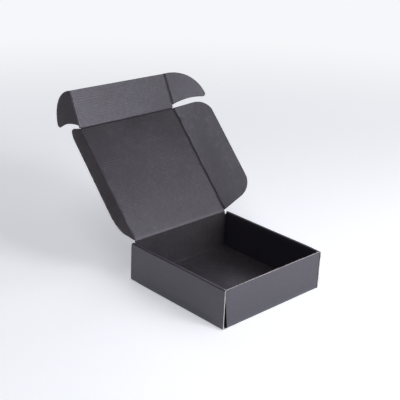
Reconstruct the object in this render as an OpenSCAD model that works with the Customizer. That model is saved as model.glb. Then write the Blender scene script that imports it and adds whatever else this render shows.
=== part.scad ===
// Corrugated mailer box, folded from one die-cut sheet of black board.
// It stands open, as in use: the tray is set up and its lid leans back.
// Origin: centre of the tray's underside. X runs left to right, Y front to back.

/* [Board] */
// Thickness of the corrugated board
board_t = 1.3; // [1:0.1:1.8]
// Radius inside each bend of the tray
bend_r = 0.5; // [0.4:0.1:0.8]
// Air left between two boards that lie against each other
layer_gap = 0.15; // [0.1:0.05:0.3]
// Width of a hinge crease, where the board is pressed thin
crease_w = 0.4; // [0.4:0.1:0.8]

/* [Tray] */
// Outside width, left to right
tray_w = 181; // [150:1:240]
// Outside depth, front to back
tray_d = 176; // [150:1:240]
// Height of the walls
wall_h = 54; // [45:1:80]
// How far the rolled walls stop short of the front wall
roll_front_gap = 3; // [1:0.5:6]
// How far the rolled walls stop short of the back wall
roll_back_gap = 0.5; // [0.3:0.1:3]
// Rounding at the lower corners of the inner side panels
inner_corner_r = 6; // [2:1:12]

/* [Dust flaps] */
// Space between the tips of the two flaps hidden in a side wall
dust_space = 20; // [10:1:60]
// Fall of their upper edge from the wall to the tip
dust_taper = 5; // [2:1:10]

/* [Floor tabs] */
// Width of a locking tab
tab_w = 24; // [14:1:34]
// Distance between the centres of the two tabs of a side
tab_pitch = 92; // [60:1:110]
// Play round a tab in its slot
tab_play = 0.25; // [0.1:0.05:0.5]

/* [Lid] */
// Opening angle at rest, from closed
lid_open = 133.3; // [95:0.1:150]
// Height of the lid's hinge line above the walls
hinge_rise = 1; // [0.9:0.1:3]
// Space at each side between the lid's crease and the inner side panel
lid_clear = 2.5; // [1.5:0.1:5]
// Depth of the notches beside the hinge line
hinge_notch = 4; // [2:0.5:8]

/* [Side flaps] */
// How much shallower a side flap is than the tray
side_short = 3; // [2.5:0.5:20]
// Fold of a side flap at rest, inward from flat
side_fold = 38; // [0:1:80]
// Space between the hinge line and the start of a side flap
side_start = 1.6; // [1:0.1:4]
// Space between a side flap and the tuck flap's crease
side_end_gap = 0.8; // [0.5:0.1:4]
// Slope of the edge next to the hinge
side_back_slope = 13.5; // [5:0.5:25]
// Slope of the edge next to the tuck flap
side_front_slope = 10; // [5:0.5:25]
// Corner radius near the hinge
side_back_r = 27; // [10:1:35]
// Corner radius near the tuck flap
side_front_r = 25; // [10:1:35]

/* [Tuck flap] */
// Air between its lower edge and the floor when closed
tuck_floor_gap = 1.05; // [0.8:0.05:15]
// Air between it and the front wall when closed
tuck_wall_gap = 0.75; // [0.7:0.05:2]
// Space at each side between the ear's crease and the inner side panel
tuck_clear = 0.9; // [0.7:0.1:3]
// Fold of the tuck flap at rest, inward from flat
tuck_fold = 17; // [0:1:60]

/* [Ears] */
// Fold of an ear at rest, inward from flat
ear_fold = 28; // [0:1:80]
// Radius of the hollow lower edge over that of the round edge
ear_hollow = 1.54; // [1.3:0.02:2]
// Height of the hollow edge over the round edge's radius
ear_rise = 0.17; // [0.14:0.01:0.22]
// Radius of the tip
ear_tip_r = 4; // [2:0.5:6]
// Height of the ear's root above the lid's crease
ear_root = 3; // [2:0.1:8]

/* [Hidden] */
$fn = 64;
board_colour = "#3d3c42";
inside_colour = "#2c2a2e";
half_w = tray_w / 2;
half_d = tray_d / 2;
foot_gap = 0.1;
bend_out = board_t + bend_r;
// The side wall is three boards thick: outer panel, dust flap and inner panel
side_thick = 3 * board_t + 2 * layer_gap;
inner_half_w = half_w - side_thick;
// Flat part of the front and back walls, between their corner bends
wall_half = half_w - board_t - layer_gap - bend_out;
floor_half_w = half_w - bend_out;
floor_half_d = half_d - bend_out;
dust_len = floor_half_d - dust_space / 2;
inner_foot = board_t + foot_gap;
// Straight runs of the side wall's section: outer panel, top strip, inner panel
side_runs = [0, wall_h - 2 * bend_out, side_thick - 2 * bend_out, wall_h - bend_out - inner_foot];
roll_y0 = -(half_d - board_t - roll_front_gap);
roll_y1 = half_d - board_t - roll_back_gap;
// Lid hinge: the axis lies in the middle of the back wall's board
hinge_y = half_d - board_t / 2;
hinge_z = wall_h + hinge_rise;
nose_r = board_t / 2;
hinge_play = 0.2;
notch_bevel = 1;
// Closed, the tuck flap hangs just behind the front wall and just above the floor
lid_half = inner_half_w - lid_clear;
lid_len = hinge_y + half_d - 2 * board_t - tuck_wall_gap;
side_depth = wall_h - side_short;
side_end = lid_len - side_end_gap;
tuck_half = inner_half_w - tuck_clear;
tuck_depth = hinge_z - nose_r - board_t - tuck_floor_gap;
// The ear is as deep as the tuck flap; its round edge is struck from just outside its crease
ear_r = tuck_depth;
ear_centre = [1.4, 0];
ear_hollow_r = ear_hollow * ear_r;

// Board section as a path of straight runs with a quarter bend after each.
// It starts along +X with its outer face on the X axis and bends to the left.
// Runs have whole numbers and each bend lies half way between two runs.
module board_section(runs, first, last, i = 0) {
    if (i >= first && i <= last && runs[i] > 0)
        square([runs[i], board_t]);
    if (i < len(runs) - 1) {
        if (i + 0.5 >= first && i + 0.5 <= last)
            translate([runs[i], bend_out]) quarter_bend();
        translate([runs[i] + bend_out, bend_out]) rotate(90)
            board_section(runs, first, last, i + 1);
    }
}

module quarter_bend() {
    intersection() {
        difference() {
            circle(bend_out);
            circle(bend_r);
        }
        translate([0, -bend_out]) square(bend_out);
    }
}

// Runs a section drawn in X and Z along the Y axis, from y0 to y1
module along_y(y0, y1) {
    translate([0, y1, 0]) rotate([90, 0, 0]) linear_extrude(y1 - y0) children();
}

// Runs a section drawn in Y and Z along the X axis, from x0 to x1
module along_x(x0, x1) {
    translate([x0, 0, 0]) rotate([90, 0, 90]) linear_extrude(x1 - x0) children();
}

module mirrored(axis) {
    children();
    mirror(axis) children();
}

// Centre of the rounding at the corner b of the path a, b, c
function unit(v) = v / norm(v);
function corner_half(a, b, c) = acos(unit(a - b) * unit(c - b)) / 2;
function corner_centre(a, b, c, r) =
    b + unit(unit(a - b) + unit(c - b)) * r / sin(corner_half(a, b, c));
function corner_end(a, b, c, r) = b + unit(c - b) * r / tan(corner_half(a, b, c));

// Four-sided outline, cut off straight at its crease, with its far corners rounded
module rounded_flap(p, r1, r2) {
    c1 = corner_centre(p[0], p[1], p[2], r1);
    c2 = corner_centre(p[1], p[2], p[3], r2);
    intersection() {
        union() {
            translate(c1) circle(r1);
            translate(c2) circle(r2);
            polygon([
                p[0],
                corner_end(p[2], p[1], p[0], r1),
                c1,
                corner_end(p[0], p[1], p[2], r1),
                corner_end(p[3], p[2], p[1], r2),
                c2,
                corner_end(p[1], p[2], p[3], r2),
                p[3]
            ]);
        }
        translate([p[0][0], 0]) square([p[1][0], p[3][1]]);
    }
}

// Tray: floor with its slots
module tab_places() {
    for (side = [-1, 1], row = [-1, 1])
        translate([side * (inner_half_w + board_t / 2), row * tab_pitch / 2]) children();
}

module floor_panel() {
    difference() {
        translate([-floor_half_w, -floor_half_d, 0])
            cube([2 * floor_half_w, 2 * floor_half_d, board_t]);
        tab_places() translate([0, 0, board_t / 2])
            cube([board_t + 2 * tab_play, tab_w + 2 * tab_play, 2 * board_t], center = true);
    }
}

// Inner side panel seen from the side, with its two locking tabs
module inner_outline() {
    intersection() {
        translate([roll_y0, inner_foot]) {
            translate([0, inner_corner_r]) square([roll_y1 - roll_y0, wall_h - inner_foot]);
            translate([inner_corner_r, 0]) square([roll_y1 - roll_y0 - 2 * inner_corner_r, wall_h]);
            translate([inner_corner_r, inner_corner_r]) circle(inner_corner_r);
            translate([roll_y1 - roll_y0 - inner_corner_r, inner_corner_r]) circle(inner_corner_r);
        }
        translate([roll_y0, 0]) square([roll_y1 - roll_y0, wall_h]);
    }
}

// The tabs end just above the floor's underside and reach up into their panel
module tabs() {
    tab_recess = 0.2;
    tab_root = 1;
    for (row = [-1, 1])
        translate([inner_half_w, row * tab_pitch / 2 - tab_w / 2, tab_recess])
            cube([board_t, tab_w, inner_foot + tab_root - tab_recess]);
}

// Right side wall: outer panel, narrow top strip and inner panel in one run
module side_wall() {
    along_y(-half_d, half_d) translate([floor_half_w, 0]) board_section(side_runs, 0.5, 1.5);
    intersection() {
        along_y(roll_y0, roll_y1) translate([floor_half_w, 0]) board_section(side_runs, 2, 3);
        along_x(0, half_w) inner_outline();
    }
    tabs();
}

// Corner bend and hidden dust flap at the right end of the front wall
module dust_flap(corner_top, flap_top) {
    intersection() {
        translate([wall_half, -half_d, 0]) linear_extrude(wall_h)
            board_section([0, dust_len], 0.5, 1);
        along_x(0, half_w) polygon([
            [-half_d, bend_out],
            [-floor_half_d + dust_len, bend_out + dust_taper],
            [-floor_half_d + dust_len, flap_top - dust_taper],
            [roll_y0 - roll_back_gap, flap_top],
            [-floor_half_d, corner_top],
            [-half_d, corner_top]
        ]);
    }
}

module front_wall() {
    along_x(-wall_half, wall_half) translate([-floor_half_d, 0]) mirror([1, 0])
        board_section([0, wall_h - bend_out], 0.5, 1);
}

// Back wall: the lid's crease takes only the middle of its upper edge
module back_wall() {
    crease_top = hinge_z - nose_r - hinge_play;
    shoulder = wall_h - hinge_notch;
    along_x(-wall_half, wall_half) translate([floor_half_d, 0])
        board_section([0, shoulder - bend_out], 0.5, 1);
    translate([0, half_d, 0]) rotate([90, 0, 0]) linear_extrude(board_t)
        polygon([
            [-lid_half, crease_top],
            [-lid_half - notch_bevel, shoulder - notch_bevel],
            [lid_half + notch_bevel, shoulder - notch_bevel],
            [lid_half, crease_top]
        ]);
}

module tray() {
    under_roll = wall_h - board_t - layer_gap;
    color(board_colour) {
        floor_panel();
        front_wall();
        back_wall();
        mirrored([1, 0, 0]) {
            side_wall();
            dust_flap(wall_h, under_roll);
            mirror([0, 1, 0]) dust_flap(wall_h - hinge_notch, wall_h - hinge_notch);
        }
    }
}

// Places of the folded flaps. Each frame has its crease on an axis through the
// origin, the flap reaching outward from it and the inner face of the board up.
module at_lid() {
    translate([0, hinge_y, hinge_z]) rotate([180 - lid_open, 0, 0]) children();
}

module at_side_crease() {
    at_lid() translate([lid_half, 0, nose_r]) rotate([0, -side_fold, 0]) children();
}

module at_tuck() {
    at_lid() translate([0, lid_len, nose_r]) rotate([tuck_fold, 0, 0]) children();
}

module at_ear() {
    at_tuck() translate([tuck_half, 0, 0]) rotate([0, -ear_fold, 0]) children();
}

// A flap cut from flat board: its inner face lies on Z = 0
module flat_board() {
    translate([0, 0, -board_t]) linear_extrude(board_t) children();
}

module lid() {
    color(board_colour) at_lid() along_x(-lid_half + crease_w / 2, lid_half - crease_w / 2) {
        circle(nose_r);
        translate([0, -nose_r]) square([lid_len - crease_w / 2, board_t]);
    }
}

module side_flap() {
    corners = [
        [crease_w / 2, side_start],
        [side_depth, side_start + side_depth * tan(side_back_slope)],
        [side_depth, side_end - side_depth * tan(side_front_slope)],
        [crease_w / 2, side_end]
    ];
    at_side_crease() flat_board() rounded_flap(corners, side_back_r, side_front_r);
}

module tuck_flap() {
    inset = crease_w / 2;
    color(board_colour) at_tuck() flat_board()
        translate([-tuck_half + inset, inset])
            square([2 * (tuck_half - inset), tuck_depth - inset]);
}

// Ear: a quarter disc with a hollow lower edge and a small round tip
function circle_meet(c1, r1, c2, r2) =
    let (
        gap = c2 - c1,
        d = norm(gap),
        along = (d * d + r1 * r1 - r2 * r2) / (2 * d),
        across = sqrt(r1 * r1 - along * along)
    ) c1 + gap * along / d + [-gap[1], gap[0]] * across / d;

module ear_outline() {
    hollow_centre = [ear_r / 2, ear_rise * ear_r - ear_hollow_r];
    tip = circle_meet(ear_centre, ear_r - ear_tip_r, hollow_centre, ear_hollow_r + ear_tip_r);
    round_end = ear_centre + unit(tip - ear_centre) * ear_r;
    hollow_end = hollow_centre + unit(tip - hollow_centre) * ear_hollow_r;
    difference() {
        intersection() {
            translate(ear_centre) circle(ear_r);
            translate([crease_w / 2, ear_root]) square(2 * ear_r);
        }
        translate(hollow_centre) circle(ear_hollow_r);
        // Everything past the two points where the tip's circle touches
        polygon([
            tip,
            hollow_end,
            [hollow_end[0], -ear_r],
            [2 * ear_r, -ear_r],
            ear_centre + unit(tip - ear_centre) * 2 * ear_r,
            round_end
        ]);
    }
    translate(tip) circle(ear_tip_r);
}

module tuck_ear() {
    at_ear() flat_board() ear_outline();
}

module side_flap_right() {
    color(board_colour) side_flap();
}

module side_flap_left() {
    color(inside_colour) mirror([1, 0, 0]) side_flap();
}

module tuck_ear_right() {
    color(board_colour) tuck_ear();
}

module tuck_ear_left() {
    color(inside_colour) mirror([1, 0, 0]) tuck_ear();
}

tray();
lid();
side_flap_left();
side_flap_right();
tuck_flap();
tuck_ear_left();
tuck_ear_right();
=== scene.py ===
import math

import bmesh
import bpy
import numpy as np
from mathutils import Matrix, Vector


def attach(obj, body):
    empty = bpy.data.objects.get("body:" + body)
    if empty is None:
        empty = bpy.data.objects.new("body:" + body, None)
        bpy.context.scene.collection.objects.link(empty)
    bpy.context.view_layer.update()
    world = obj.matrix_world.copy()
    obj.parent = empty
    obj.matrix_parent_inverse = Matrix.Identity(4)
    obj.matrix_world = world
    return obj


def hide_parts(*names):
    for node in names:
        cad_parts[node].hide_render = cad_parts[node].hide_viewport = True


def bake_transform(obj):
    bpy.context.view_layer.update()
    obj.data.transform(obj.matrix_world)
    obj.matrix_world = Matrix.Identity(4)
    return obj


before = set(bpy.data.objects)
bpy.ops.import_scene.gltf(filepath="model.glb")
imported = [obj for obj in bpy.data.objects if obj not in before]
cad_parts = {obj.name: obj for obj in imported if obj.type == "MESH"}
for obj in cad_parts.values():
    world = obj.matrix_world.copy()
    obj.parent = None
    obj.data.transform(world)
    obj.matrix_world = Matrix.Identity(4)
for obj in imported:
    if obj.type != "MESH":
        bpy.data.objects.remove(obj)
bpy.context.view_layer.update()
print("frame loaded:", len(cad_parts), "nodes")

# Everything below is worked out in millimetres and made metres when a mesh is written
toMetres = 0.001

sheet = {
    "boardT": 1.3,         # thickness of the board
    "linerT": 0.2,         # thickness of each of its two faces
    "bendR": 0.5,          # radius inside a bend
    "layerGap": 0.15,      # air between boards that lie against each other
    "creaseHalf": 0.2,     # half the width of a hinge crease
    "channel": 0.22,       # how deep the fluting lies open at a cut edge
    "flutePitch": 3.34,
}
tray = {
    "halfW": 90.5, "halfD": 88.0, "wallH": 54.0,
    "rollFront": -83.7, "rollBack": 86.2, "innerCornerR": 6.0, "foot": 1.4,
    "dustLen": 76.2, "dustTaper": 5.0, "dustShoulder": 84.2,
    "tabW": 24.0, "tabPitch": 92.0, "tabPlay": 0.25, "tabIn": 1.2,
    "hingeNotch": 4.0, "notchRun": 0.4,
    "topRound": 2.2,       # how far the outer side panels are cut back at their upper front corner
    "floorGrid": (80, 78, 17),
    # Folded by hand: how far the front left corner stands open at its foot, up to what height and from
    # how far along the side, how far two corners are pinched in, and how far the walls bow
    "wedge": 4.3, "wedgeTop": 36.0, "wedgeY": -83.9, "wedgeRun": 3.4,
    "pinchRight": 1.5, "pinchLeft": 0.8, "pinchReach": 16, "bowSide": 0.55, "bowFront": 0.35,
}
# blankY says where a panel starts on the flat sheet. Waves are (height, reach, seed) of a panel's slight
# waviness; the side flaps and ears give their seeds as (right, left)
lid = {
    "hinge": (0.0, 87.35, 55.0), "open": 133.3, "half": 83.8, "length": 172.0, "foot": 0.7,
    "blankY": 172.0, "wave": (0.22, 42.0, 1.3),
}
sideFlap = {
    "fold": 38.0, "depth": 51.0, "start": 1.6, "end": 171.2, "wave": (0.16, 36.0), "seeds": (0.9, 2.2),
    "backSlope": 13.5, "frontSlope": 10.0, "backR": 27.0, "frontR": 25.0,
}
tuck = {"fold": 17.0, "half": 85.4, "depth": 52.0, "skew": 0.012, "blankY": 344.0, "wave": (0.2, 33.0, 0.4)}
ear = {
    "fold": 28.0, "radius": 52.0, "centre": (1.4, 0.0), "hollowR": 80.08, "hollowRise": 8.84, "tipR": 4.0,
    "sag": 1.2, "bow": (0.0, 1.5), "wave": (0.14, 30.0), "seeds": (1.7, 0.2),
}

boardT = sheet["boardT"]
bendOut = boardT + sheet["bendR"]


# ---------- node helpers: a socket that does sums, and one way to add a node
class Wire:
    def __init__(self, nodes, socket):
        self.nodes, self.socket = nodes, socket

    def sum(self, operation, *values):
        return self.nodes.wire(self.nodes.add("ShaderNodeMath", {"operation": operation}, dict(enumerate(values))))

    def __add__(self, other): return self.sum("ADD", self, other)
    def __sub__(self, other): return self.sum("SUBTRACT", self, other)
    def __mul__(self, other): return self.sum("MULTIPLY", self, other)
    def __truediv__(self, other): return self.sum("DIVIDE", self, other)
    def sine(self): return self.sum("SINE", self)
    def most(self, other): return self.sum("MAXIMUM", self, other)
    def least(self, other): return self.sum("MINIMUM", self, other)
    def size(self): return self.sum("ABSOLUTE", self)

    def smooth(self, low, high):
        made = self.nodes.add("ShaderNodeMapRange", {"interpolation_type": "SMOOTHSTEP"},
                              {"Value": self, "From Min": low, "From Max": high})
        return self.nodes.wire(made, "Result")


class Nodes:
    def __init__(self, tree):
        self.tree = tree
        tree.nodes.clear()

    def add(self, kind, settings=None, values=None):
        made = self.tree.nodes.new(kind)
        for key, value in (settings or {}).items():
            setattr(made, key, value)
        for key, value in (values or {}).items():
            self.put(made.inputs[key], value)
        return made

    def put(self, socket, value):
        if isinstance(value, Wire):
            self.tree.links.new(value.socket, socket)
        else:
            socket.default_value = value

    def wire(self, made, output=0):
        return Wire(self, made.outputs[output])

    def noise(self, place, scale, detail=2.0, rough=0.5):
        made = self.add("ShaderNodeTexNoise", {}, {
            "Vector": place, "Scale": scale, "Detail": detail, "Roughness": rough})
        return self.wire(made, "Fac")

    def mixColour(self, share, a, b):
        return self.wire(self.add("ShaderNodeMix", {"data_type": "RGBA"}, {0: share, 6: a, 7: b}), 2)

    def stretched(self, place, scale):
        return self.wire(self.add("ShaderNodeMapping", {}, {"Vector": place, "Scale": scale}))


class Shader(Nodes):
    def __init__(self, name):
        self.material = bpy.data.materials.new(name)
        self.material.use_nodes = True
        super().__init__(self.material.node_tree)
        self.surface = self.add("ShaderNodeBsdfPrincipled")
        self.add("ShaderNodeOutputMaterial", {}, {"Surface": self.wire(self.surface)})

    def place(self):
        return self.wire(self.add("ShaderNodeTexCoord"), "Object")

    def paint(self, values, height=None):
        if height is not None:
            bump = self.add("ShaderNodeBump", {}, {"Strength": 1.0, "Distance": 1.0, "Height": height})
            self.put(self.surface.inputs["Normal"], self.wire(bump))
        for key, value in values.items():
            self.put(self.surface.inputs[key], value)
        return self.material


def colour(r, g, b):
    return (r, g, b, 1.0)


# ---------- materials
# Noise over the faces of the board, as scale, detail and roughness
grain = {
    "drift": (22.0, 2.0), "strength": (55.0, 3.0, 0.6), "fibres": (1500.0, 3.0, 0.6), "specks": (700.0, 2.0, 0.7),
    "clouds": (14.0, 3.0, 0.55), "rubsAndShade": (260.0, 3.0, 0.75), "mottle": (210.0, 4.0, 0.62),
    "ragged": (110.0, 2.0, 0.6),
}
# Colours: ink; a paler tone for fibres and specks, which also paints the shading of the fluting ridges as stripes;
# broad warmer clouds; rubbed bends; and painted shade as a dark line in creases and inner bends.
# Depths are in metres; bow and lean say how much the panels bend, in the shading only
insideLook = {
    "ink": colour(0.0210, 0.0176, 0.0180), "thin": colour(0.056, 0.051, 0.056),
    "warm": colour(0.038, 0.030, 0.030), "scuff": colour(0.15, 0.142, 0.147), "creaseShade": colour(0.007, 0.006, 0.007),
    "sheen": colour(0.945, 0.925, 1.0), "roughness": 0.44,
    "washDepth": 0.000100, "fibreDepth": 0.000024, "washShade": 1.3, "mottle": 1.75, "bow": 0.0012, "lean": -0.0030,
}
outsideLook = {
    "ink": colour(0.0205, 0.0186, 0.0272), "thin": colour(0.041, 0.0370, 0.0510),
    "warm": colour(0.027, 0.0260, 0.033), "scuff": colour(0.13, 0.128, 0.14), "creaseShade": colour(0.007, 0.006, 0.007),
    "sheen": colour(0.955, 0.935, 1.0), "roughness": 0.37,
    "washDepth": 0.000030, "fibreDepth": 0.000015, "washShade": 0.6, "mottle": 1.5, "bow": -0.0012, "lean": 0.0030,
}


def panelBend(along, aside, half):
    # The lid and its flaps bulge a little, from hinge to free edge and from side to side
    length = lid["length"] * toMetres
    reach = ((along - lid["blankY"] * toMetres - length / 2) * (2.0 / length)).most(-1.0).least(1.0)
    flap = aside.smooth(half, 1.45 * half)
    side = (aside / half).least(1.0)
    bow = (reach * reach * -1.0 + 1.0) * (flap * -2.1 + 1.0) - side * side * 0.8
    # The front wall leans a little, its foot out
    lean = ((along * -1.0 - tray["halfD"] * toMetres) / (tray["wallH"] * toMetres)).most(0.0).least(1.0)
    return bow, lean


def linerMaterial(name, look):
    s = Shader(name)
    uv, place = s.wire(s.add("ShaderNodeUVMap", {"uv_map": "sheet"})), s.place()
    parts = s.add("ShaderNodeSeparateXYZ", {}, {0: uv})
    along, aside = s.wire(parts, "Y"), s.wire(parts, "X").size()
    wearAndShade = s.wire(s.add("ShaderNodeAttribute", {"attribute_name": "wearAndShade"}), "Fac")
    specks, clouds, rubsAndShade, ragged = (s.noise(place, *grain[key]) for key in ("specks", "clouds", "rubsAndShade", "ragged"))
    fibres = s.noise(s.stretched(uv, (1.0, 0.35, 1.0)), *grain["fibres"])
    mottle = s.noise(s.stretched(uv, (1.0, 0.6, 1.0)), *grain["mottle"]) - 0.5
    # The faces sink a little between the crests of the fluting, here more and there less,
    # and beside the creases of the flaps the crests are pressed nearly flat
    half = lid["half"] * toMetres
    drift = s.noise(place, *grain["drift"]) * 1.6
    calm = aside.smooth(0.99 * half, 1.07 * half) * -0.7 + 1.0
    strength = s.noise(place, *grain["strength"]).smooth(0.34, 0.68) * calm
    # In the colour this stripe pattern paints the shading of the fluting ridges
    wash = (along * (2 * math.pi / (sheet["flutePitch"] * toMetres)) + drift).sine() * 0.5 + 0.5
    # Colour: ink with a paler tone for fibres and specks and painted shade as stripes along the fluting ridges, then
    # clouds, rubbed places, and painted shade as a dark line in creases and inner bends
    thin = (wash * (strength * 0.34 + calm * 0.20) * look["washShade"] + (fibres - 0.5) * 0.9
            + (specks - 0.5) * 0.5 + mottle * look["mottle"])
    scuffed = (wearAndShade.most(0.0) * (rubsAndShade.smooth(0.35, 0.7) * 0.6 + 0.45)).least(1.0)
    # Painted shade where the wear is negative: a dark, rougher line in creases and inner bends
    creaseShade = (wearAndShade * ((ragged - 0.5) * -2.4 - 1.25) + (rubsAndShade - 0.5) * 0.7).smooth(0.28, 0.70)
    base = s.mixColour(thin.smooth(0.0, 1.15), look["ink"], look["thin"])
    base = s.mixColour(clouds.smooth(0.45, 0.75) * 0.45, base, look["warm"])
    base = s.mixColour(scuffed, base, look["scuff"])
    base = s.mixColour(creaseShade, base, look["creaseShade"])
    bow, lean = panelBend(along, aside, half)
    height = (wash * (strength * 0.50 + calm * 0.33) * look["washDepth"] + fibres * look["fibreDepth"]
              + mottle * look["fibreDepth"] * 4.0 + bow * look["bow"] - lean * look["lean"]
              + rubsAndShade * scuffed * 0.00003 - creaseShade * 0.00012)
    roughness = ((fibres - 0.5) * 0.22 + (clouds - 0.5) * 0.16 - mottle * 0.25 + scuffed * 0.12 + creaseShade * 0.25
                 + look["roughness"])
    return s.paint({"Base Color": base, "Roughness": roughness, "Specular IOR Level": 1.0,
                    "Specular Tint": look["sheen"]}, height)


# The first dark colour gives random grime patches and also paints shade in the flute hollow; the second paints shade
# over the cut edges of the lid and flaps
kraftLook = {
    "pale": colour(0.82, 0.79, 0.765), "deep": colour(0.58, 0.54, 0.51), "roughness": 0.85, "fibreDepth": 0.00004,
    "grimeAndHollowShade": colour(0.20, 0.175, 0.16), "edgeShade": colour(0.075, 0.067, 0.066),
}


def kraftMaterial(name, cover, darkening):
    s = Shader(name)
    fibres, patches = s.noise(s.place(), 2600.0, 3.0, 0.7), s.noise(s.place(), 160.0, 2.0, 0.6)
    base = s.mixColour(fibres.smooth(0.25, 0.75), kraftLook["deep"], kraftLook["pale"])
    base = s.mixColour((patches.smooth(0.42, 0.7) * 0.6 + cover).least(1.0), base, kraftLook[darkening])
    return s.paint({"Base Color": base, "Roughness": (patches - 0.5) * 0.2 + kraftLook["roughness"]},
                   fibres * kraftLook["fibreDepth"])


inside = linerMaterial("blackInside", insideLook)
outside = linerMaterial("blackOutside", outsideLook)
# Cut edges as liner, hollow between the waves, and wave: raw on the tray, and darkened on the lid and flaps by
# painted shade.
# Cover says how far the dark colour hides the paper; the hollow's larger share is painted shade in the recess between
# the waves
rawEdge = [kraftMaterial(name, cover, "grimeAndHollowShade")
           for name, cover in (("cutLiner", 0.0), ("fluteHollow", 0.12), ("fluteCore", 0.0))]
shadedEdge = [kraftMaterial(name, cover, "edgeShade")
             for name, cover in (("shadedCutLiner", 0.72), ("shadedHollow", 0.80), ("shadedCore", 0.62))]


def gapShadeMaterial():
    # Painted shade deep in an open corner: near-black and matt, with a faint fibre pattern
    s = Shader("cornerGapShade")
    fibres = s.noise(s.place(), 1800.0, 3.0, 0.7)
    base = s.mixColour(fibres, colour(0.003, 0.003, 0.003), colour(0.009, 0.008, 0.008))
    return s.paint({"Base Color": base, "Roughness": fibres * 0.1 + 0.85, "Specular IOR Level": 0.08})


gapShade = gapShadeMaterial()
print("materials made")


# ---------- places of the folded panels
def turned(side, up, degrees):
    t = math.radians(degrees)
    return side * math.cos(t) + up * math.sin(t), up * math.cos(t) - side * math.sin(t)


class Panel:
    # A flat board's own frame: a across, b along, h up from its inner face
    def __init__(self, origin, across, along, up):
        self.origin, self.across, self.along, self.up = (np.array(v, float) for v in (origin, across, along, up))

    def at(self, a, b, h):
        a, b, h = np.broadcast_arrays(a, b, h)
        return self.origin + a[..., None] * self.across + b[..., None] * self.along + h[..., None] * self.up

    def foldedAcross(self, reach, degrees):
        across, up = turned(self.across, self.up, degrees)
        return Panel(self.origin + reach * self.across, across, self.along, up)

    def foldedAlong(self, reach, degrees):
        along, up = turned(self.along, self.up, degrees)
        return Panel(self.origin + reach * self.along, self.across, along, up)


lean = math.radians(180 - lid["open"])
lidUp = np.array([0.0, -math.sin(lean), math.cos(lean)])
lidAlong = np.array([0.0, math.cos(lean), math.sin(lean)])
hingePoint = np.array(lid["hinge"])
lidPanel = Panel(hingePoint + lidUp * boardT / 2, (1, 0, 0), lidAlong, lidUp)
sidePanel = lidPanel.foldedAcross(lid["half"], sideFlap["fold"])
tuckPanel = lidPanel.foldedAlong(lid["length"], tuck["fold"])
earPanel = tuckPanel.foldedAcross(tuck["half"], ear["fold"])


def foldPath(start, parts):
    # A section of folded board from (start, 0), its outer face down and its bends to the left
    pieces, point, angle, length = [], np.array([start, 0.0]), 0.0, 0.0
    for kind, size in parts:
        ahead = np.array([math.cos(angle), math.sin(angle)])
        left = np.array([-ahead[1], ahead[0]])
        if kind == "run":
            pieces.append((length, length + size, "run", point.copy(), ahead, left))
            point, length = point + ahead * size, length + size
        else:
            arc = math.radians(size) * (bendOut - boardT / 2)
            centre = point + left * bendOut
            pieces.append((length, length + arc, "bend", centre, angle, size))
            angle += math.radians(size)
            point = centre - np.array([-math.sin(angle), math.cos(angle)]) * bendOut
            length += arc

    def at(s, h):
        # How far out and how high it is: s is the length along its middle, h the height from its inner face
        outer, inward = np.zeros(s.shape + (2,)), np.zeros(s.shape + (2,))
        for n, (low, high, kind, p, q, r) in enumerate(pieces):
            here = (s >= low) if n else np.ones(s.shape, bool)
            local = s[here] - low
            if kind == "run":
                outer[here] = p + local[..., None] * q
                inward[here] = r
            else:
                angles = q + np.minimum(local / (high - low), 1.0) * math.radians(r)
                side = np.stack([-np.sin(angles), np.cos(angles)], -1)
                outer[here] = p - side * bendOut
                inward[here] = side
        return np.moveaxis(outer + inward * (boardT + h)[..., None], -1, 0)

    return at, [piece[:3] for piece in pieces]


def distinct(values, digits=4):
    return np.array(sorted(set(np.round(values, digits))))


def samplesOf(stops, low, high, runStep=7.0, bendSteps=6):
    out = [low, high]
    for a, b, kind in stops:
        steps = bendSteps if kind == "bend" else max(1, int(math.ceil((b - a) / runStep)))
        out += [v for v in np.linspace(a, b, steps + 1) if low < v < high]
    return distinct(out, 6)


# ---------- pieces
def addPiece(name, data):
    piece = bpy.data.objects.new(name, data)
    bpy.context.scene.collection.objects.link(piece)
    return piece


def boardPiece(name, points, faces, uvs, wearAndShade, materials, slots, smoothSlots=(0,), sharpAngle=40, weld=False):
    mesh = bpy.data.meshes.new(name)
    mesh.from_pydata((np.array(points) * toMetres).tolist(), [], faces)
    layer = mesh.uv_layers.new(name="sheet")
    loops = np.zeros(len(mesh.loops), int)
    mesh.loops.foreach_get("vertex_index", loops)
    layer.data.foreach_set("uv", (np.array(uvs)[loops] * toMetres).ravel())
    mesh.attributes.new("wearAndShade", "FLOAT", "POINT").data.foreach_set("value", np.array(wearAndShade, float))
    mesh.polygons.foreach_set("material_index", slots)
    for material in materials:
        mesh.materials.append(material)
    work = bmesh.new()
    work.from_mesh(mesh)
    if weld:
        bmesh.ops.remove_doubles(work, verts=work.verts, dist=1e-6)
        bmesh.ops.dissolve_degenerate(work, dist=1e-7, edges=work.edges)
    bmesh.ops.recalc_face_normals(work, faces=work.faces)
    for face in work.faces:
        face.smooth = face.material_index in smoothSlots
    for edge in work.edges:
        if len(edge.link_faces) == 2:
            edge.smooth = edge.calc_face_angle(0) < math.radians(sharpAngle)
    work.to_mesh(mesh)
    work.free()
    return addPiece(name, mesh)


def mirrored(mirror):
    return np.array([-1.0 if mirror else 1.0, 1.0, 1.0])


# ---------- a sheet of board as a closed mesh, with its fluting open at the cut edges
def inwardOf(outline):
    # The way inward from each point of a closed outline, longer where it turns
    after = np.roll(outline, -1, 0)
    step = after - outline
    turnIn = np.stack([-step[:, 1], step[:, 0]], 1) / np.maximum(np.linalg.norm(step, axis=1), 1e-9)[:, None]
    area = np.sum(outline[:, 0] * after[:, 1] - after[:, 0] * outline[:, 1])
    turnIn *= 1 if area > 0 else -1
    inward = turnIn + np.roll(turnIn, 1, 0)
    size = np.linalg.norm(inward, axis=1)
    return inward / np.maximum(size, 1e-6)[:, None] * np.minimum(1.0 / np.maximum(size / 2, 0.45), 1.6)[:, None]


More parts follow.
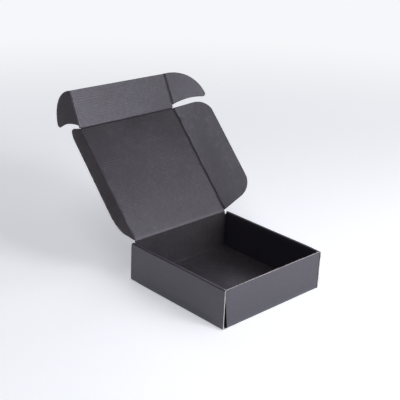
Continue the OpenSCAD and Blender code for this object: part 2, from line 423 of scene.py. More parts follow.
class Board:
    def __init__(self, name):
        self.name, self.points, self.faces, self.slots, self.uvs, self.wearAndShade = name, [], [], [], [], []
        self.cutPaths = []

    def addPoints(self, place, blank, a, b, h, wearAndShade):
        start = len(self.points)
        self.points += list(place(a, b, h).reshape(-1, 3))
        self.uvs += list(np.stack(blank(a, b), -1).reshape(-1, 2))
        self.wearAndShade += list(np.ravel(wearAndShade))
        return start

    def addSheet(self, rows, low, high, across, place, blank, cut="", wearAndShade=None, dip=None, wearOutside=None,
                 gapShadeFaces=None):
        # rows: places along the sheet; low and high: its limits across there; cut: which sides are cut edges
        rows, across = np.asarray(rows, float), np.asarray(across, float)
        low, high = np.broadcast_to(low, rows.shape), np.broadcast_to(high, rows.shape)
        n, m = len(rows), len(across)
        a = np.repeat(rows[:, None], m, 1)
        b = low[:, None] + (high - low)[:, None] * across[None, :]
        sink, rubAndShade, rubOutside = (given(a, b) if given else 0 * a for given in (dip, wearAndShade, wearOutside))
        top = self.addPoints(place, blank, a, b, -sink, rubAndShade)
        bottom = self.addPoints(place, blank, a, b, -boardT + 0 * a, rubOutside)
        for i in range(n - 1):
            for j in range(m - 1):
                k = i * m + j
                self.faces += [(top + k, top + k + 1, top + k + m + 1, top + k + m),
                               (bottom + k, bottom + k + m, bottom + k + m + 1, bottom + k + 1)]
                # Outside faces that the given test picks get the painted shade of the open corner
                self.slots += [0, 4 if gapShadeFaces and gapShadeFaces(a[i, j], b[i, j]) else 3]
        # The rim, once round: low side, end, high side, start. A side's name stands at its first points
        rim = ([(i, 0, "low") for i in range(n - 1)] + [(n - 1, j, "end") for j in range(m - 1)]
               + [(i, m - 1, "high") for i in range(n - 1, 0, -1)] + [(0, j, "start") for j in range(m - 1, 0, -1)])
        count, index = len(rim), np.array([i * m + j for i, j, side in rim])
        ra, rb, rimSink = (grid.ravel()[index] for grid in (a, b, sink))
        isCut = np.array([side in cut.split() for i, j, side in rim])
        outline = np.stack([ra, rb], 1)
        inward = inwardOf(outline)
        inset = inward * ((isCut & np.roll(isCut, 1)) * sheet["channel"])[:, None]
        # Down the rim: past the inner liner, in to the channel's depth, and out again to the outer liner
        under, above = -rimSink - sheet["linerT"], -boardT + sheet["linerT"] + 0 * ra
        rings = [(top + index).tolist()]
        for h, deep in ((under, 0), (under, 1), (above, 1), (above, 0)):
            start = self.addPoints(place, blank, ra + inset[:, 0] * deep, rb + inset[:, 1] * deep, h, 0 * ra)
            rings.append(list(range(start, start + count)))
        rings.append((bottom + index).tolist())
        for k in range(count):
            after = (k + 1) % count
            for ring, nextRing, slot in zip(rings, rings[1:], (1, 2, 2, 2, 1)):
                self.faces.append((ring[k], nextRing[k], nextRing[after], ring[after]))
                self.slots.append(slot if isCut[k] else 3)
        # Where the paper wave runs: each unbroken stretch of cut edge
        begin = next((k for k in range(count) if isCut[k] and not isCut[k - 1]), 0)
        stretch = []
        for step in range(count + 1):
            k = (begin + step) % count
            if isCut[k] and step < count:
                stretch.append(k)
            elif stretch:
                self.addCutPath([*stretch, (stretch[-1] + 1) % count], outline, inward, place, blank)
                stretch = []

    def addCutPath(self, ks, outline, inward, place, blank):
        points = outline[ks]
        run = np.concatenate([[0], np.cumsum(np.linalg.norm(np.diff(points, axis=0), axis=1))])
        if run[-1] < 1.5:
            return
        at = np.linspace(0, run[-1], max(3, int(run[-1] / (sheet["flutePitch"] / 8))))
        a, b, inA, inB = (np.interp(at, run, column) for column in (*points.T, *inward[ks].T))
        half = -boardT / 2 + 0 * a
        middle = place(a, b, half)
        up = place(a, b, half + 0.2) - place(a, b, half - 0.2)
        up /= np.linalg.norm(up, axis=1)[:, None]
        into = place(a + inA * 0.05, b + inB * 0.05, half) - middle
        into /= np.maximum(np.linalg.norm(into, axis=1), 1e-9)[:, None]
        self.cutPaths.append((middle, up, into, blank(a, b)[1]))

    def make(self, mirror, cutEdge):
        # Slots: inside, cut liner, hollow, outside, and the painted shade deep in the open corner
        materials = (inside, cutEdge[0], cutEdge[1], outside, gapShade)
        return boardPiece(self.name, np.array(self.points) * mirrored(mirror), self.faces, self.uvs, self.wearAndShade,
                          materials, self.slots, (0, 3), 32, True)


def ramp(value, reach):
    return np.clip(value / reach, 0, 1)


def bell(distance, width):
    return np.exp(-(distance / width) ** 2)


def nearCrease(distance, width):
    return bell(np.maximum(distance, 0.0), width)


def waveOver(a, b, height, reach, seed):
    # Slow waviness of hand-folded board
    return height * (np.sin(a / reach + seed) * np.cos(b / (reach * 1.3) + 2.1 * seed)
                     + 0.5 * np.sin(b / (reach * 0.55) + 0.7 * seed + a / (reach * 2.3)))


def columns(low, high, step, fineHigh=True):
    # Shares across a sheet, closer together beside its creases
    fine = [0.35, 0.8, 1.4, 2.4, 4.0]
    at = list(np.linspace(low, high, max(2, int((high - low) / step)) + 1)) + [low + f for f in fine]
    at = distinct(at + ([high - f for f in fine] if fineHigh else []))
    keep = [at[0]] + [v for u, v in zip(at, at[1:]) if v - u > 0.2]
    keep[-1] = high
    return (np.array(keep) - low) / (high - low)


# ---------- tray
def trayWarp(points):
    p = np.array(points, float)
    x, y, z = p[..., 0], p[..., 1], p[..., 2]
    halfW, halfD = tray["halfW"], tray["halfD"]
    # The end of the left side wall, at the front wall, moves right at its foot
    nearFront = ramp(tray["wedgeY"] - y, tray["wedgeRun"])
    ends = nearFront ** 2 * (3 - 2 * nearFront) * (x > -halfW + boardT + 0.05)
    wedge = tray["wedge"] * (1 - ramp(z, tray["wedgeTop"])) ** 1.1 * ends * ramp(-x - 50, 37) ** 1.5
    pinchRight = tray["pinchRight"] * ramp(x - 40, 50) ** 2 * bell(y + halfD, tray["pinchReach"])
    pinchLeft = tray["pinchLeft"] * ramp(-x - 40, 50) ** 2 * bell(y - halfD, tray["pinchReach"])
    side, front, up = ramp(np.abs(x), halfW), ramp(-y, halfD), ramp(z, tray["wallH"])
    bowX = -tray["bowSide"] * np.cos(math.pi * np.clip(y / (2 * halfD), -0.5, 0.5)) * up * side ** 6
    bowY = tray["bowFront"] * np.cos(math.pi * np.clip(x / (2 * halfW), -0.5, 0.5)) * up * front ** 6
    return np.stack([x + wedge - pinchRight + pinchLeft + np.sign(x) * bowX, y + bowY - 0.5 * pinchLeft, z], -1)


def nearBend(at, stops):
    return sum(bell(at - (p + q) / 2, 1.1) for p, q, kind in stops if kind == "bend") * 0.34


def makeTray():
    board = Board("trayBoard")
    halfW, halfD, wallH = tray["halfW"], tray["halfD"], tray["wallH"]
    floorW, floorD = halfW - bendOut, halfD - bendOut
    sideThick = 3 * boardT + 2 * sheet["layerGap"]
    wallHalf = halfW - boardT - sheet["layerGap"] - bendOut
    bendLen = math.radians(90) * (bendOut - boardT / 2)

    # Side walls: outer panel, top strip and inner panel, one run of board
    side, stops = foldPath(floorW, [
        ("bend", 90), ("run", wallH - 2 * bendOut), ("bend", 90), ("run", sideThick - 2 * bendOut),
        ("bend", 90), ("run", wallH - bendOut - tray["foot"] + tray["tabIn"])])
    stripStart, panelEnd = stops[2][1], stops[5][1] - tray["tabIn"]
    outerRows = samplesOf(stops, 0, stripStart)
    rounding = tray["topRound"] * ramp(outerRows - (stops[2][0] - 2.0), 4.0) ** 2
    nearEnd = panelEnd - np.array([0.1, 0.5, 1.2, 2.2, 3.5, 5, 6])
    innerRows = distinct(np.append(samplesOf(stops, stripStart, panelEnd), nearEnd), 5)
    r = tray["innerCornerR"]
    cornerIn = r - np.sqrt(np.maximum(r ** 2 - np.clip(r - (panelEnd - innerRows), 0, None) ** 2, 0))
    wearAndShade = lambda s, y: nearBend(s, stops) + 0.10 * nearCrease(halfD - np.abs(y), 1.5)
    # Painted shade: a dark line on the inner face of each bend, as negative wear
    bendShade = lambda s, y: -1.3 * nearBend(s, stops)
    shares = columns(-halfD, halfD, 8)
    for sign in (1, -1):
        def place(s, y, h, sign=sign):
            out, up = side(s, h)
            return trayWarp(np.stack([sign * out, y, up], -1))
        blank = lambda s, y, sign=sign: (sign * (floorW + s), y)
        board.addSheet(outerRows, -halfD, halfD - rounding, shares, place, blank, "low high", bendShade, None, wearAndShade)
        board.addSheet(innerRows, tray["rollFront"] + cornerIn, tray["rollBack"] - cornerIn, shares, place, blank,
                       "low high end", bendShade, None, wearAndShade)
        for tab in (-1, 1):
            low = tab * tray["tabPitch"] / 2 - tray["tabW"] / 2
            board.addSheet([panelEnd, panelEnd + tray["tabIn"]], low, low + tray["tabW"], [0, 0.25, 0.5, 0.75, 1],
                           place, blank)

    # Front and back walls
    wall, wallStops = foldPath(0, [("bend", 90), ("run", wallH - bendOut)])
    wallEnd = wallStops[-1][1]
    nearFootBend = lambda s: nearBend(s, wallStops[:1])
    def placeWall(s, x, h, end):
        out, up = wall(s, h)
        return trayWarp(np.stack([x, end * (floorD + out), up], -1))
    # Painted shade: a dark line on the inner face of the foot bend, as negative wear
    board.addSheet(samplesOf(wallStops, 0, wallEnd, 5), -wallHalf, wallHalf, columns(-wallHalf, wallHalf, 6),
                   lambda s, x, h: placeWall(s, x, h, -1), lambda s, x: (x, -(floorD + s)), "end",
                   lambda s, x: -0.8 * nearFootBend(s), None, lambda s, x: nearFootBend(s))
    creaseTop = lid["hinge"][2] - boardT / 2 - sheet["creaseHalf"]
    shoulder, notchIn = wallH - tray["hingeNotch"], lid["half"] + tray["notchRun"]
    notchOut = notchIn + tray["notchRun"]
    beside = [lid["half"], notchIn, notchOut]
    xs = distinct(np.concatenate([np.linspace(-wallHalf, wallHalf, 31), np.negative(beside), beside]))
    zTop = np.interp(np.abs(xs), [0, lid["half"], notchOut, 100], [creaseTop, creaseTop, shoulder, shoulder])
    # Painted shade: a dark line on the inner face of the foot bend, as negative wear
    board.addSheet(xs, 0, bendLen + zTop - bendOut, samplesOf(wallStops, 0, wallEnd, 6) / wallEnd,
                   lambda x, s, h: placeWall(s, x, h, 1), lambda x, s: (x, floorD + s), "",
                   lambda x, s: -0.9 * nearFootBend(s), None, lambda x, s: nearFootBend(s))

    # Dust flaps, hidden in the side walls
    dust, dustStops = foldPath(wallHalf, [("bend", 90), ("run", tray["dustLen"])])
    rows = samplesOf(dustStops, 0, dustStops[-1][1], 9, 8)
    y = dust(rows, -boardT + 0 * rows)[1] - halfD
    under, dustEnd, taper = wallH - boardT - sheet["layerGap"], tray["dustLen"] - floorD, tray["dustTaper"]
    foot = np.interp(y, [-halfD, dustEnd], [bendOut, bendOut + taper])
    tops = {
        -1: np.interp(y, [-halfD, -floorD, -tray["dustShoulder"], dustEnd], [wallH, wallH, under, under - taper]),
        1: np.interp(y, [-halfD, -tray["dustShoulder"], dustEnd], [shoulder, shoulder, shoulder - taper]),
    }
    # The outside faces of the front left dust flap, low in the open wedge, get the painted corner shade
    atWedge = lambda s, z: s > 0.15 and z < tray["wedgeTop"]
    for sign in (1, -1):
        for end in (-1, 1):
            def place(s, z, h, sign=sign, end=end):
                out, back = dust(s, h)
                return trayWarp(np.stack([sign * out, end * (halfD - back), z], -1))
            board.addSheet(rows, foot, tops[end], np.linspace(0, 1, 10), place,
                           lambda s, z, sign=sign, end=end: (sign * (wallHalf + s), end * (floorD + z)),
                           "high end" if end < 0 else "end", None, None,
                           lambda s, z: 0.5 * nearBend(s, dustStops[:1]), atWedge if sign + end == -2 else None)
    addFloor(board, floorW, floorD, halfW - sideThick)
    return board


def addFloor(board, floorW, floorD, innerX):
    # The bottom, with a slot for each tab of the side panels
    x0, x1 = innerX - tray["tabPlay"], innerX + boardT + tray["tabPlay"]
    t0, t1 = (tray["tabPitch"] / 2 + side * tray["tabW"] / 2 + side * tray["tabPlay"] for side in (-1, 1))
    gridX, gridY, lines = tray["floorGrid"]
    xs = np.sort([-floorW, floorW, -x1, -x0, x0, x1, *np.linspace(-gridX, gridX, lines)])
    ys = np.sort([-floorD, floorD, -t1, -t0, t0, t1, *np.linspace(-gridY, gridY, lines)])
    isSlot = lambda x, y: x0 < abs(x) < x1 and t0 < abs(y) < t1
    index = {}

    def corner(i, j, level):
        key = (i, j, level)
        if key not in index:
            index[key] = len(board.points)
            board.points.append(np.array([xs[i], ys[j], boardT * level]))
            board.uvs.append(np.array([xs[i], ys[j]]))
            board.wearAndShade.append(0.0)
        return index[key]

    solid = {(i, j) for i in range(len(xs) - 1) for j in range(len(ys) - 1)
             if not isSlot((xs[i] + xs[i + 1]) / 2, (ys[j] + ys[j + 1]) / 2)}
    for i, j in sorted(solid):
        quad = [(i, j), (i + 1, j), (i + 1, j + 1), (i, j + 1)]
        board.faces.append(tuple(corner(*c, 1) for c in quad))
        board.faces.append(tuple(corner(*c, 0) for c in reversed(quad)))
        board.slots += [0, 3]
        for (di, dj), (p, q) in zip([(0, -1), (1, 0), (0, 1), (-1, 0)], zip(quad, quad[1:] + quad[:1])):
            ni, nj = i + di, j + dj
            if (ni, nj) not in solid:
                board.faces.append((corner(*p, 0), corner(*q, 0), corner(*q, 1), corner(*p, 1)))
                # Cut where it borders on a slot, bent where the floor ends
                board.slots.append(1 if 0 <= ni < len(xs) - 1 and 0 <= nj < len(ys) - 1 else 0)


trayBoard = makeTray()
print("tray folded")


# ---------- lid, side flaps, tuck flap and ears
def creaseDip(distance):
    # Pressed in beside the fold, and a little proud behind that
    return 0.5 * nearCrease(distance - 0.15, 0.85) - 0.10 * bell(distance - 2.7, 1.0)


def creaseShadeAmount(distance):
    # Painted shade: a dark line along a crease, as negative wear
    return -1.0 * nearCrease(distance - 0.3, 1.35)


def creaseWander(along, seed):
    # The pressed line of a hand-folded crease isn't straight
    return 0.85 * np.sin(along / 4.7 + seed) + 0.55 * np.sin(along / 8.3 + 2 * seed)


def makeLid():
    board = Board("lidBoard")
    half, length, c, foot = lid["half"], lid["length"], sheet["creaseHalf"], lid["foot"]
    rows = foot + columns(foot, length - c, 7) * (length - c - foot)
    def place(v, x, h):
        calm = ramp(v, 20) * ramp(length - v, 20) * ramp(half - np.abs(x), 20)
        return lidPanel.at(x, v, h + waveOver(x, v, *lid["wave"]) * calm)
    dip = lambda v, x: np.maximum(creaseDip(half - np.abs(x)), creaseDip(length - v))
    wander = lambda v, x: creaseWander(v, np.where(x > 0, *sideFlap["seeds"]))
    # The crease terms paint a line of shade along the side creases and the tuck crease
    wearAndShade = lambda v, x: (0.42 * bell(v - 1.6, 1.5) + creaseShadeAmount(half - np.abs(x) + wander(v, x))
                         + 1.4 * creaseShadeAmount(length - v))
    board.addSheet(rows, -half + c, half - c, columns(-half, half, 7), place,
                   lambda v, x: (x, lid["blankY"] + v), "", wearAndShade, dip)
    return board


def flapOutline():
    # The side flap's edge from the hinge end to the tuck end, as (along, across) with two round corners
    f, c = sideFlap, sheet["creaseHalf"]
    backIn, frontIn = (f["depth"] * math.tan(math.radians(f[key])) for key in ("backSlope", "frontSlope"))
    corners = np.array([[f["start"], c], [f["start"] + backIn, f["depth"]],
                        [f["end"] - frontIn, f["depth"]], [f["end"], c]])
    unit = lambda v: v / np.linalg.norm(v)
    out = [corners[0]]
    for a, b, d, r in ((*corners[:3], f["backR"]), (*corners[1:], f["frontR"])):
        ua, ud = unit(a - b), unit(d - b)
        half = math.acos(ua @ ud) / 2
        centre = b + unit(ua + ud) * r / math.sin(half)
        p, q = b + ua * r / math.tan(half), b + ud * r / math.tan(half)
        t0, t1 = math.atan2(*(p - centre)[::-1]), math.atan2(*(q - centre)[::-1])
        out += [centre + r * np.array([math.cos(t), math.sin(t)]) for t in np.linspace(t0, t1, 18)]
    out.append(corners[3])
    dense = [out[0]]
    for p, q in zip(out, out[1:]):
        steps = max(1, int(np.linalg.norm(q - p) / 5))
        dense += [p + (q - p) * k / steps for k in range(1, steps + 1)]
    dense = np.array(dense)
    dense[:, 1] = np.maximum(dense[:, 1], c + 0.04)
    keep = [0] + [k for k in range(1, len(dense)) if dense[k, 0] > dense[:k, 0].max() + 1e-4]
    return dense[keep]


def makeSideFlap(name, seed):
    board = Board(name)
    edge, c = flapOutline(), sheet["creaseHalf"]
    def place(v, u, h):
        return sidePanel.at(u, v, h + waveOver(u, v, *sideFlap["wave"], seed) * ramp(u - 1, 18))
    # Painted shade along the flap's crease
    wearAndShade = lambda v, u: 0.7 * creaseShadeAmount(u - creaseWander(v, seed))
    shares = np.concatenate([[0, 0.006, 0.014, 0.026, 0.05], np.linspace(0.1, 1, 9)])
    board.addSheet(edge[:, 0], c, edge[:, 1], shares, place, lambda v, u: (lid["half"] + u, lid["blankY"] + v),
                   "high start end", wearAndShade, lambda v, u: creaseDip(u))
    return board


def makeTuck():
    board = Board("tuckBoard")
    half, depth, c = tuck["half"], tuck["depth"], sheet["creaseHalf"]
    rows = c + columns(c, depth, 6, False) * (depth - c)
    def place(y, x, h):
        calm = ramp(y - 1, 12) * ramp(half - np.abs(x), 14)
        return tuckPanel.at(x, y * (1 - tuck["skew"] * x / half), h + waveOver(x, y, *tuck["wave"]) * calm)
    dip = lambda y, x: np.maximum(creaseDip(half - np.abs(x)), creaseDip(y))
    # The crease terms paint a line of shade along the tuck's creases
    wearAndShade = lambda y, x: (0.4 * creaseShadeAmount(y) + 0.8 * creaseShadeAmount(half - np.abs(x))
                         + 0.12 * nearCrease(depth - y, 0.9) + 0.10 * bell(y - 2.8, 1.4))
    board.addSheet(rows, -half + c, half - c, columns(-half, half, 7), place,
                   lambda y, x: (x, tuck["blankY"] + y), "end", wearAndShade, dip)
    return board


def makeEar(name, seed, skew, bow):
    board = Board(name)
    r, tipR, hollowR, c = ear["radius"], ear["tipR"], ear["hollowR"], sheet["creaseHalf"]
    # The tip's circle touches the round edge from inside and the hollow edge from outside
    p, q = np.array(ear["centre"]), np.array([r / 2, ear["hollowRise"] - hollowR])
    gapLine = q - p
    d = np.linalg.norm(gapLine)
    alongGap = (d * d + (r - tipR) ** 2 - (hollowR + tipR) ** 2) / (2 * d)
    off = math.sqrt((r - tipR) ** 2 - alongGap ** 2)
    tip = p + gapLine * alongGap / d + np.array([-gapLine[1], gapLine[0]]) * off / d
    outerX, hollowX = (centre[0] + (tip - centre)[0] / np.linalg.norm(tip - centre) * reach
                       for centre, reach in ((p, r), (q, hollowR)))
    xs = c + (tip[0] + tipR - 0.02 - c) * np.sin(np.linspace(0, math.pi / 2, 30)) ** 1.15
    xs = distinct(np.append(xs, [outerX, hollowX, c + 0.4, c + 0.9, c + 1.6]))
    tipDy = np.sqrt(np.maximum(tipR ** 2 - (xs - tip[0]) ** 2, 0))
    high = np.where(xs <= outerX, p[1] + np.sqrt(np.maximum(r * r - (xs - p[0]) ** 2, 0)), tip[1] + tipDy)
    low = np.where(xs <= hollowX, q[1] + np.sqrt(hollowR ** 2 - (xs - q[0]) ** 2), tip[1] - tipDy)
    def place(x, y, h):
        lower = ear["sag"] * np.clip(x / 12, 0.5, 1) * (1 - ramp(y, 40))
        lift = waveOver(x, y, *ear["wave"], seed) * ramp(x - 1, 14) - bow * (x / r) ** 2
        return earPanel.at(x, (y - lower) * (1 + skew), h + lift)
    # The ear's crease gets a painted line of shade
    board.addSheet(xs, low, high, np.linspace(0, 1, 13), place,
                   lambda x, y: (tuck["half"] + x, tuck["blankY"] + y), "low high end",
                   lambda x, y: 0.6 * creaseShadeAmount(x), lambda x, y: creaseDip(x))
    return board


# By the node that each stands for, and whether it is mirrored from the right side to the left
boards = {"tray": (trayBoard, False), "lid": (makeLid(), False)}
for n, side in enumerate(("Right", "Left")):
    flap = makeSideFlap("sideFlap" + side, sideFlap["seeds"][n])
    boards["side_flap_" + side.lower()] = (flap, side == "Left")
boards["tuck_flap"] = (makeTuck(), False)
for n, side in enumerate(("Right", "Left")):
    flap = makeEar("ear" + side, ear["seeds"][n], (2 * n - 1) * tuck["skew"], ear["bow"][n])
    boards["tuck_ear_" + side.lower()] = (flap, side == "Left")
for node, (board, mirror) in boards.items():
    piece = board.make(mirror, rawEdge if node == "tray" else shadedEdge)
    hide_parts(node)
    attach(piece, node)
print("boards made:", len(boards))


# ---------- the paper wave that shows at every cut edge
fluting = {"paper": 0.16, "depthShare": 0.9}


def flutingTree():
    tree = bpy.data.node_groups.new("flutingAlongCuts", "GeometryNodeTree")
    put = tree.interface.new_socket
    put("Geometry", in_out="INPUT", socket_type="NodeSocketGeometry")
    for name in ("Pitch", "Wave height", "Paper", "Depth"):
        put(name, in_out="INPUT", socket_type="NodeSocketFloat")
    put("Paper material", in_out="INPUT", socket_type="NodeSocketMaterial")
    put("Geometry", in_out="OUTPUT", socket_type="NodeSocketGeometry")
    n = Nodes(tree)
    group = n.add("NodeGroupInput")
    path, pitch, waveHeight, thickness, depth, material = (n.wire(group, k) for k in range(6))

    def attribute(name, kind):
        return n.wire(n.add("GeometryNodeInputNamedAttribute", {"data_type": kind}, {"Name": name}), "Attribute")

    def scaled(vector, amount):
        return n.wire(n.add("ShaderNodeVectorMath", {"operation": "SCALE"}, {0: vector, "Scale": amount}))

    def extruded(mode, mesh, offset, values):
        return n.wire(n.add("GeometryNodeExtrudeMesh", {"mode": mode}, {
            "Mesh": mesh, "Offset": offset, "Offset Scale": 1.0, **values}), "Mesh")

    up, inward = attribute("boardUp", "FLOAT_VECTOR"), attribute("boardInside", "FLOAT_VECTOR")
    lift = (attribute("blankY", "FLOAT") / pitch * (2 * math.pi)).sine() * (waveHeight * 0.5) - thickness * 0.5
    offset = n.wire(n.add("ShaderNodeVectorMath", {}, {0: scaled(up, lift), 1: scaled(inward, depth)}))
    moved = n.wire(n.add("GeometryNodeSetPosition", {}, {"Geometry": path, "Offset": offset}))
    paper = extruded("EDGES", moved, scaled(up, thickness), {})
    deep = extruded("FACES", paper, scaled(inward, depth * -1.0), {"Individual": False})
    real = n.wire(n.add("GeometryNodeRealizeInstances", {}, {0: deep}))
    painted = n.wire(n.add("GeometryNodeSetMaterial", {}, {"Geometry": real, "Material": material}))
    n.add("NodeGroupOutput", {}, {0: painted})
    return tree


waveTree = flutingTree()


def makeFluting(node, board, mirror):
    flip = mirrored(mirror)
    points, ups, insides, blankYs, edges = [], [], [], [], []
    for middle, up, inward, blankY in board.cutPaths:
        start = len(points)
        points += list(middle * flip * toMetres)
        ups += list(up * flip)
        insides += list(inward * flip)
        blankYs += list(np.asarray(blankY) * toMetres)
        edges += [(start + k, start + k + 1) for k in range(len(middle) - 1)]
    mesh = bpy.data.meshes.new(node + "FlutingPath")
    mesh.from_pydata([tuple(p) for p in points], edges, [])
    for name, kind, field, values in (("boardUp", "FLOAT_VECTOR", "vector", ups),
                                      ("boardInside", "FLOAT_VECTOR", "vector", insides),
                                      ("blankY", "FLOAT", "value", blankYs)):
        mesh.attributes.new(name, kind, "POINT").data.foreach_set(field, np.ravel(values))
    guide = addPiece(node + "Guide", mesh)
    modifier = guide.modifiers.new("fluting", "NODES")
    modifier.node_group = waveTree
    values = {
        "Pitch": sheet["flutePitch"] * toMetres,
        "Wave height": (boardT - 2 * sheet["linerT"] - fluting["paper"]) * toMetres,
        "Paper": fluting["paper"] * toMetres,
        "Depth": sheet["channel"] * fluting["depthShare"] * toMetres,
        "Paper material": (rawEdge if node == "tray" else shadedEdge)[2],
    }
    for item in waveTree.interface.items_tree:
        if item.in_out == "INPUT" and item.name in values:
            modifier[item.identifier] = values[item.name]
    bpy.context.view_layer.update()
    done = bpy.data.meshes.new_from_object(guide.evaluated_get(bpy.context.evaluated_depsgraph_get()))
    guide.modifiers.clear()
    bpy.data.objects.remove(guide)
    work = bmesh.new()
    work.from_mesh(done)
    bmesh.ops.recalc_face_normals(work, faces=work.faces)
    work.to_mesh(done)
    work.free()
    piece = addPiece(node + "Fluting", done)
    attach(piece, node)
    print("fluting made:", node, len(done.polygons), "faces")


for node, (board, mirror) in boards.items():
    if board.cutPaths:
        makeFluting(node, board, mirror)


# ---------- creases: the paper that runs through between two boards
crease = {
    "steps": 7, "lap": 0.25,               # stations round the fold, and the overlap with each board
    "outside": 1.24, "inside": 0.50,       # depth of the strip's two faces below the boards' inner face
    # The strip's inside face gets painted crease shade as negative wear, its outside face a little rubbing
    "wearAndShade": (0.12, -1.1), "ragged": (0.25, 1.0), "rough": 0.5,
    "shortSide": 0.2, "shortEar": 0.3, "shortTuck": 0.4, "earStart": 5.0,      # where the strips start and stop
}
hinge = {
    "steps": 8, "lengthSteps": 56, "lap": 0.3, "start": 0.86, "reach": 0.72,
    "insideInset": 0.03, "outsideInset": 0.05, "wearAndShade": (0.40, 0.2), "short": 0.3, "blend": (0.75, 0.65),
    "blankY": 170.0, "blankStep": 0.2,     # where it lies on the flat sheet
}


def stripFaces(count, steps):
    # A closed strip of paper: at each of its steps along the crease lie count pairs of points, outside and inside
    faces = []
    for k in range(steps):
        for i in range(count - 1):
            a, b = (k * count + i) * 2, (k * count + i + 1) * 2
            c, d = a + count * 2, b + count * 2
            faces += [(a, b, d, c), (a + 1, c + 1, d + 1, b + 1)]
        for i in (0, count - 1):
            a, c = (k * count + i) * 2, ((k + 1) * count + i) * 2
            faces.append((a, c, c + 1, a + 1))
    for k in (0, steps):
        base = k * count * 2
        faces += [(base + 2 * i, base + 2 * i + 2, base + 2 * i + 3, base + 2 * i + 1) for i in range(count - 1)]
    return faces


def addCrease(name, rims, span, steps, place, blank, rubsAndShade, ends):
    # rims: the strip's section, as pairs of points on its two faces; span: where it starts and stops
    points, wearAndShade, uvs = [], [], []
    for k in range(steps + 1):
        at = span[0] + (span[1] - span[0]) * k / steps
        for i, rim in enumerate(rims):
            for face, p in enumerate(rim):
                points.append(place(at, k, face, p))
                uvs.append(blank(at, i, p))
                wearAndShade.append(rubsAndShade[face])
    faces = stripFaces(len(rims), steps)
    piece = boardPiece(name, points, faces, uvs, wearAndShade, [inside], [0] * len(faces))
    start, end = (tuple(point * toMetres) for point in ends)
    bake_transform(piece)
    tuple(start)
    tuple(end)


def makeCrease(name, panel, reach, span, fold, atEnd, mirror, seed):
    # The strip stands that far out on the panel it starts from, at its side or at its end, and folds about there
    along, across = (panel.across, panel.along) if atEnd else (panel.along, panel.across)
    origin = panel.origin + across * reach
    c, steps, lap, flip = sheet["creaseHalf"], crease["steps"], crease["lap"], mirrored(mirror)
    rims = []
    for k in range(-1, steps + 2):
        t = math.radians(fold) * min(max(k / steps, 0), 1)
        shift = -c - lap if k < 0 else (c + lap if k > steps else -c + 2 * c * k / steps)
        outDir, upDir = np.array([math.cos(t), math.sin(t)]), np.array([-math.sin(t), math.cos(t)])
        rims.append([outDir * shift - upDir * crease[face] for face in ("outside", "inside")])

    def place(at, k, face, p):
        ragged = 0.10 * math.sin(k * 1.9 + seed) + 0.07 * math.sin(k * 0.83 + 2 * seed)
        up = p[1] + ragged * crease["ragged"][face] * crease["rough"]
        return (origin + along * at + across * p[0] + panel.up * up) * flip

    middle = origin + along * (span[0] + span[1]) / 2
    ends = [(middle + across * p[0] + panel.up * p[1]) * flip for p in (rims[1][0], rims[-2][0])]
    addCrease(name, rims, span, max(12, int((span[1] - span[0]) / 3)), place, lambda at, i, p: (at, p[0]),
              crease["wearAndShade"], ends)


for suffix, mirror in (("Right", False), ("Left", True)):
    makeCrease("sideCrease" + suffix, lidPanel, lid["half"],
               (sideFlap["start"] + crease["shortSide"], sideFlap["end"] - crease["shortSide"]),
               sideFlap["fold"], False, mirror, 1.0 + mirror)
    makeCrease("earCrease" + suffix, tuckPanel, tuck["half"],
               (crease["earStart"], tuck["depth"] - crease["shortEar"]), ear["fold"], False, mirror, 3.0 + mirror)
makeCrease("tuckCrease", lidPanel, lid["length"],
           (-lid["half"] + crease["shortTuck"], lid["half"] - crease["shortTuck"]), tuck["fold"], True, False, 5.0)


def makeHinge():
    # The back wall's upper edge runs on into the lid through one crease, bent round the hinge line
    start, reach, lap, steps = (hinge[key] for key in ("start", "reach", "lap", "steps"))
    bend, half = math.radians(lid["open"] - 90), lid["half"] - hinge["short"]
    rims = []
    stations = ([(0.0, -start - lap), (0.0, -start)] + [(bend * k / steps, 0.0) for k in range(steps + 1)]
                + [(bend, reach), (bend, reach + lap)])
    for turn, forward in stations:
        # Straight up at first, and leaning back towards the lid
        ahead = np.array([math.sin(turn), math.cos(turn)])
        inner = np.array([-math.cos(turn), math.sin(turn)])
        rims.append((ahead * forward + inner * (boardT / 2 - hinge["insideInset"]),
                     ahead * forward - inner * (boardT / 2 - hinge["outsideInset"])))
    addCrease("hingeCrease", rims, (-half, half), hinge["lengthSteps"],
              lambda x, k, face, p: hingePoint + np.array([x, *p]),
              lambda x, i, p: (x, hinge["blankY"] + i * hinge["blankStep"]), hinge["wearAndShade"],
              (hingePoint - np.array([0, 0, hinge["blend"][0]]), hingePoint + lidAlong * hinge["blend"][1]))


makeHinge()
print("creases made")


# ---------- floor, light and camera
stageLook = {
    "floor": colour(0.85, 0.863, 0.835), "floorShade": colour(0.83, 0.845, 0.82),
    "floorGlow": colour(0.372, 0.381, 0.402), "roughness": 0.9, "half": 9,
    "horizon": colour(0.92, 0.93, 0.955), "fadeStart": 0.45, "fadeEnd": 1.6,
    "world": 0.075, "worldTint": colour(0.94, 0.94, 1.0),
    "tint": (0.91, 0.905, 1.0), "aim": (0.0, 0.1, 0.08),
    "lamps": {            # watts, place, size
        "leftHigh": (5.4, (-0.80, -0.40, 1.50), 0.6),
        "front": (9.2, (0.191, -1.083, 0.85), 0.6),
        "frontLow": (4.8, (0.325, -0.893, 0.25), 0.5),
        "right": (2.3, (0.901, -0.631, 0.85), 0.6),
        "backRight": (7.2, (1.2, 1.4, 1.4), 1.2),
    },
}


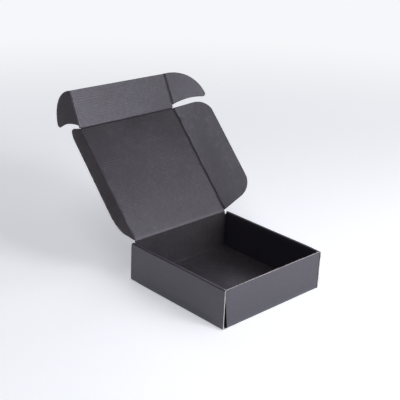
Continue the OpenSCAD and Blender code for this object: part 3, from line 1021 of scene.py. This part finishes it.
def makeFloor():
    s = Shader("paleFloor")
    place, black = s.place(), colour(0.0, 0.0, 0.0)
    # Far off the floor turns into the plain pale horizon
    away = s.wire(s.add("ShaderNodeVectorMath", {"operation": "LENGTH"}, {0: place}), "Value")
    far = away.smooth(stageLook["fadeStart"], stageLook["fadeEnd"])
    near = s.mixColour(s.noise(place, 2.0) * 0.2, stageLook["floor"], stageLook["floorShade"])
    rays = s.add("ShaderNodeLightPath")
    seen = s.wire(rays, "Is Camera Ray").most(s.wire(rays, "Is Glossy Ray")).most(s.wire(rays, "Is Transmission Ray"))
    glow = s.mixColour(far, stageLook["floorGlow"], stageLook["horizon"])
    material = s.paint({"Base Color": s.mixColour(far, near, black), "Roughness": stageLook["roughness"],
                        "Specular IOR Level": 0.0, "Emission Color": s.mixColour(seen, black, glow),
                        "Emission Strength": 1.0})
    mesh, r = bpy.data.meshes.new("floor"), stageLook["half"]
    mesh.from_pydata([(-r, -r, 0), (r, -r, 0), (r, r, 0), (-r, r, 0)], [], [(0, 1, 2, 3)])
    mesh.materials.append(material)
    addPiece("floor", mesh)


def makeWorld():
    # Rays that the camera sees get the plain horizon, and the others a little light
    world = bpy.data.worlds.new("studio")
    bpy.context.scene.world = world
    world.use_nodes = True
    n = Nodes(world.node_tree)
    light = n.add("ShaderNodeBackground", {}, {"Color": stageLook["worldTint"], "Strength": stageLook["world"]})
    seen = n.add("ShaderNodeBackground", {}, {"Color": stageLook["horizon"], "Strength": 1.0})
    camera = n.wire(n.add("ShaderNodeLightPath"), "Is Camera Ray")
    mixed = n.add("ShaderNodeMixShader", {}, {0: camera, 1: n.wire(light), 2: n.wire(seen)})
    n.add("ShaderNodeOutputWorld", {}, {"Surface": n.wire(mixed)})


def makeLamps():
    for name, (power, where, size) in stageLook["lamps"].items():
        light = bpy.data.lights.new(name, "AREA")
        light.shape, light.size, light.energy, light.color = "DISK", size, power, stageLook["tint"]
        lamp = addPiece(name, light)
        lamp.location = where
        lamp.rotation_euler = (Vector(stageLook["aim"]) - lamp.location).to_track_quat("-Z", "Y").to_euler()


# Fitted to the photograph: focal length in its pixels, angles in degrees, lengths in millimetres
photoCamera = {
    "focalPx": 946.864, "pixels": 400, "sensor": 36.0, "centreY": 200.5,
    "azimuth": -44.665, "elevation": 21.982, "roll": 2.672, "distance": 1468.724, "target": (132.068, 187.157, 27.0),
}


def makeCamera():
    c = photoCamera
    a, e, r = (math.radians(c[k]) for k in ("azimuth", "elevation", "roll"))
    back = Vector((math.sin(a) * math.cos(e), -math.cos(a) * math.cos(e), math.sin(e)))
    right = (-back).cross(Vector((0, 0, 1))).normalized()
    up = right.cross(-back)
    right, up = right * math.cos(r) + up * math.sin(r), up * math.cos(r) - right * math.sin(r)
    data = bpy.data.cameras.new("photoCamera")
    data.sensor_width, data.sensor_fit = c["sensor"], "HORIZONTAL"
    data.lens = c["focalPx"] / c["pixels"] * c["sensor"]
    data.shift_y = (c["centreY"] - c["pixels"] / 2) / c["pixels"]
    data.clip_start, data.clip_end = 0.05, 60
    camera = addPiece("photoCamera", data)
    camera.location = (Vector(c["target"]) + back * c["distance"]) * toMetres
    camera.rotation_euler = Matrix(np.array([right, up, back]).T.tolist()).to_euler()
    bpy.context.scene.camera = camera


makeFloor()
makeWorld()
makeLamps()
makeCamera()
bpy.context.scene.view_settings.view_transform = "Standard"
print("stage and camera set")
